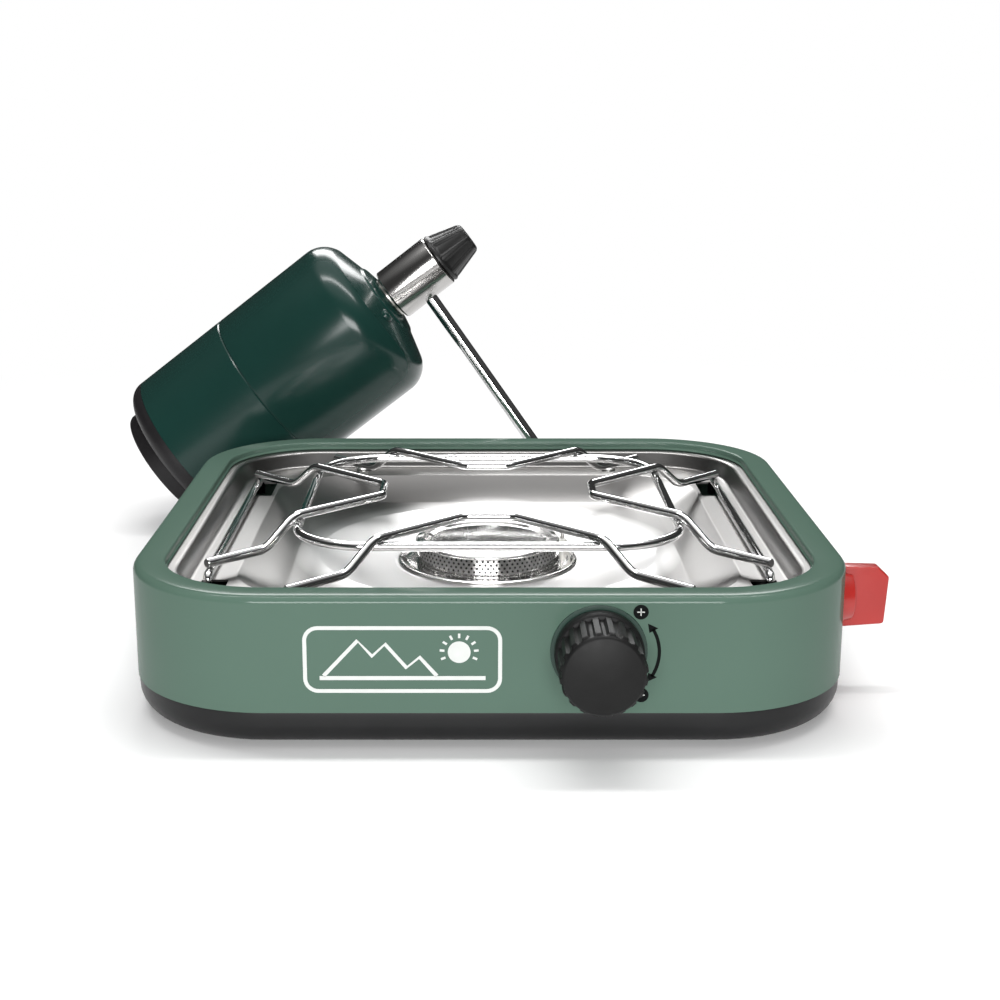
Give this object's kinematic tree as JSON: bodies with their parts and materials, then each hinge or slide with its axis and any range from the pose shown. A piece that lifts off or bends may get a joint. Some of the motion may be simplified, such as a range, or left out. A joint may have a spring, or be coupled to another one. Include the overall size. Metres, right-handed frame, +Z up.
{
  "type": "camping stove",
  "caption": "Square single-burner camping stove with lift-off wire pot support, control knob, igniter knob, and an inclined gas cylinder joined by a regulator and pipe.",
  "frame": {"origin": "centre of the stove body, on the ground", "axes": "+X right, +Y away from the control knob towards the gas cylinder, +Z up"},
  "size_m": [0.3744, 0.4292, 0.1716],
  "materials": {
    "housing_paint": "satin gloss green paint",
    "base_black": "satin black",
    "foot_rubber": "matt rubber",
    "zinc_screw": "zinc plated",
    "sheet_steel": "plain steel",
    "pan_steel": "brushed stainless",
    "burner_steel": "polished stainless",
    "brass": "machined",
    "seal_rubber": "smooth",
    "bezel_dark": "dark green black",
    "piezo_plastic": "moulded",
    "spring_steel": "bright",
    "lead_sleeve": "smooth",
    "electrode_metal": "nickel alloy",
    "ceramic_white": "glazed",
    "knob_black": "fine moulded texture",
    "igniter_red": "satin red",
    "chrome_wire": "bright chrome",
    "regulator_steel": "turned steel",
    "grip_black": "moulded",
    "cylinder_paint": "gloss dark green",
    "cylinder_black": "satin black",
    "neck_steel": "plated"
  },
  "bodies": {
    "stove": {"upper_housing": "housing_paint", "base_tray": "base_black", "rubber_feet": "foot_rubber", "base_screws": "zinc_screw", "base_brackets": "sheet_steel", "drip_pan": "pan_steel", "pan_screws": "zinc_screw", "pan_brackets": "sheet_steel", "burner_bowl": "burner_steel", "burner_retainer": "sheet_steel", "burner_drum": "burner_steel", "burner_cap": "burner_steel", "burner_bolt": "zinc_screw", "mixing_tube": "sheet_steel", "gas_jet": "brass", "valve_body": "brass", "valve_nut": "zinc_screw", "knob_bezel": "bezel_dark", "stem_seal": "seal_rubber", "gas_tube": "sheet_steel", "inlet_fitting": "brass", "inlet_nut": "zinc_screw", "inlet_seal": "seal_rubber", "igniter_body": "piezo_plastic", "igniter_nut": "zinc_screw", "igniter_spring": "spring_steel", "ignition_wire": "lead_sleeve", "electrode": "electrode_metal", "electrode_insulator": "ceramic_white"},
    "knob": {"control_knob": "knob_black", "valve_stem": "brass"},
    "igniter": {"igniter_knob": "igniter_red", "igniter_shaft": "spring_steel"},
    "pot_support": {"grate_wire_front": "chrome_wire", "grate_wire_back": "chrome_wire", "grate_wire_left": "chrome_wire", "grate_wire_right": "chrome_wire", "grate_ring": "chrome_wire", "grate_rod_left": "chrome_wire", "grate_rod_right": "chrome_wire"},
    "regulator": {"regulator_body": "regulator_steel", "supply_pipe": "chrome_wire", "pipe_nut": "regulator_steel", "regulator_diaphragm": "seal_rubber", "regulator_spring": "spring_steel", "regulator_pin": "brass", "regulator_gasket": "seal_rubber"},
    "grip": {"regulator_grip": "grip_black", "grip_spindle": "spring_steel"},
    "fuel_cylinder": {"cylinder_upper": "cylinder_paint", "cylinder_lower": "cylinder_paint", "cylinder_base": "cylinder_black", "cylinder_neck": "neck_steel", "cylinder_valve": "brass", "relief_valve": "neck_steel"}
  },
  "joints": [
    {"name": "knob_turn", "type": "hinge", "parent": "stove", "child": "knob", "pos_m": [0.041, -0.155, 0.0406], "axis": [0, -1, 0], "range_deg": [0, 270]},
    {"name": "igniter_turn", "type": "hinge", "parent": "stove", "child": "igniter", "pos_m": [0.155, -0.074, 0.041], "axis": [1, 0, 0], "range_deg": [0, 80], "stiffness_Nm_per_rad": 0.02},
    {"name": "pot_support_lift", "type": "slide", "parent": "stove", "child": "pot_support", "axis": [0, 0, 1], "range_m": [0, 0.08]},
    {"name": "regulator_pull", "type": "slide", "parent": "stove", "child": "regulator", "axis": [0, 1, 0], "range_m": [0, 0.05]},
    {"name": "grip_turn", "type": "hinge", "parent": "regulator", "child": "grip", "pos_m": [-0.02026, 0.209, 0.15697], "axis": [0.7934, 0, 0.6088], "continuous": true},
    {"name": "cylinder_unscrew", "type": "hinge", "parent": "regulator", "child": "fuel_cylinder", "pos_m": [-0.1234, 0.209, 0.07783], "axis": [0.7934, 0, 0.6088], "continuous": true}
  ]
}
